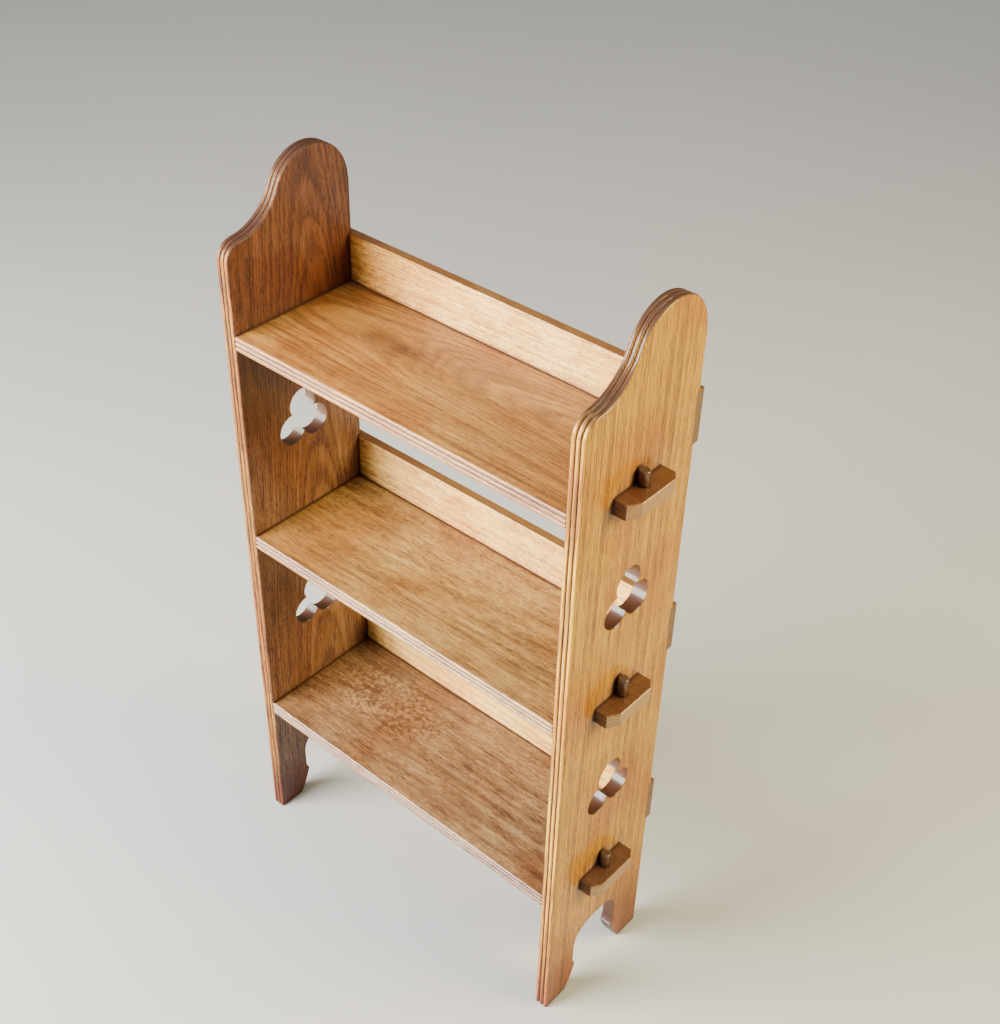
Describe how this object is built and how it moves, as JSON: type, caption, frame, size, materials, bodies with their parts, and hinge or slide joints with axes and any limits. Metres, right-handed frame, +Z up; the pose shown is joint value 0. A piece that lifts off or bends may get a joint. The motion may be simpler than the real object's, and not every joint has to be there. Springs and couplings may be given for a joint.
{
  "type": "open bookcase",
  "caption": "Open oak bookcase with shaped and pierced sides, reeded edges, shelves on pegged through tenons and a low back rail above each shelf.",
  "frame": {"origin": "on the floor, in the middle of the whole piece from side to side and from front to back", "axes": "+Z up, +X to the right of a reader who faces the shelves, -Y towards that reader"},
  "size_m": [0.578, 0.198, 0.9965],
  "materials": {
    "side_oak": "satin",
    "shelf_oak": "satin",
    "rail_oak": "satin",
    "peg_oak": "polished",
    "screw_brass": "aged"
  },
  "bodies": {
    "root": {"left_side": "side_oak", "right_side": "side_oak", "top_shelf": "shelf_oak", "middle_shelf": "shelf_oak", "bottom_shelf": "shelf_oak", "top_rail": "rail_oak", "top_rail_screws": "screw_brass", "middle_rail": "rail_oak", "middle_rail_screws": "screw_brass", "bottom_rail": "rail_oak", "bottom_rail_screws": "screw_brass"},
    "top_left_peg": {"top_left_peg": "peg_oak"},
    "top_right_peg": {"top_right_peg": "peg_oak"},
    "middle_left_peg": {"middle_left_peg": "peg_oak"},
    "middle_right_peg": {"middle_right_peg": "peg_oak"},
    "bottom_left_peg": {"bottom_left_peg": "peg_oak"},
    "bottom_right_peg": {"bottom_right_peg": "peg_oak"}
  },
  "joints": [
    {"name": "top_left_peg_lift", "type": "slide", "parent": "root", "child": "top_left_peg", "axis": [0, 0, 1], "range_m": [0, 0.033]},
    {"name": "top_right_peg_lift", "type": "slide", "parent": "root", "child": "top_right_peg", "axis": [0, 0, 1], "range_m": [0, 0.033]},
    {"name": "middle_left_peg_lift", "type": "slide", "parent": "root", "child": "middle_left_peg", "axis": [0, 0, 1], "range_m": [0, 0.027]},
    {"name": "middle_right_peg_lift", "type": "slide", "parent": "root", "child": "middle_right_peg", "axis": [0, 0, 1], "range_m": [0, 0.027]},
    {"name": "bottom_left_peg_lift", "type": "slide", "parent": "root", "child": "bottom_left_peg", "axis": [0, 0, 1], "range_m": [0, 0.031]},
    {"name": "bottom_right_peg_lift", "type": "slide", "parent": "root", "child": "bottom_right_peg", "axis": [0, 0, 1], "range_m": [0, 0.031]}
  ]
}
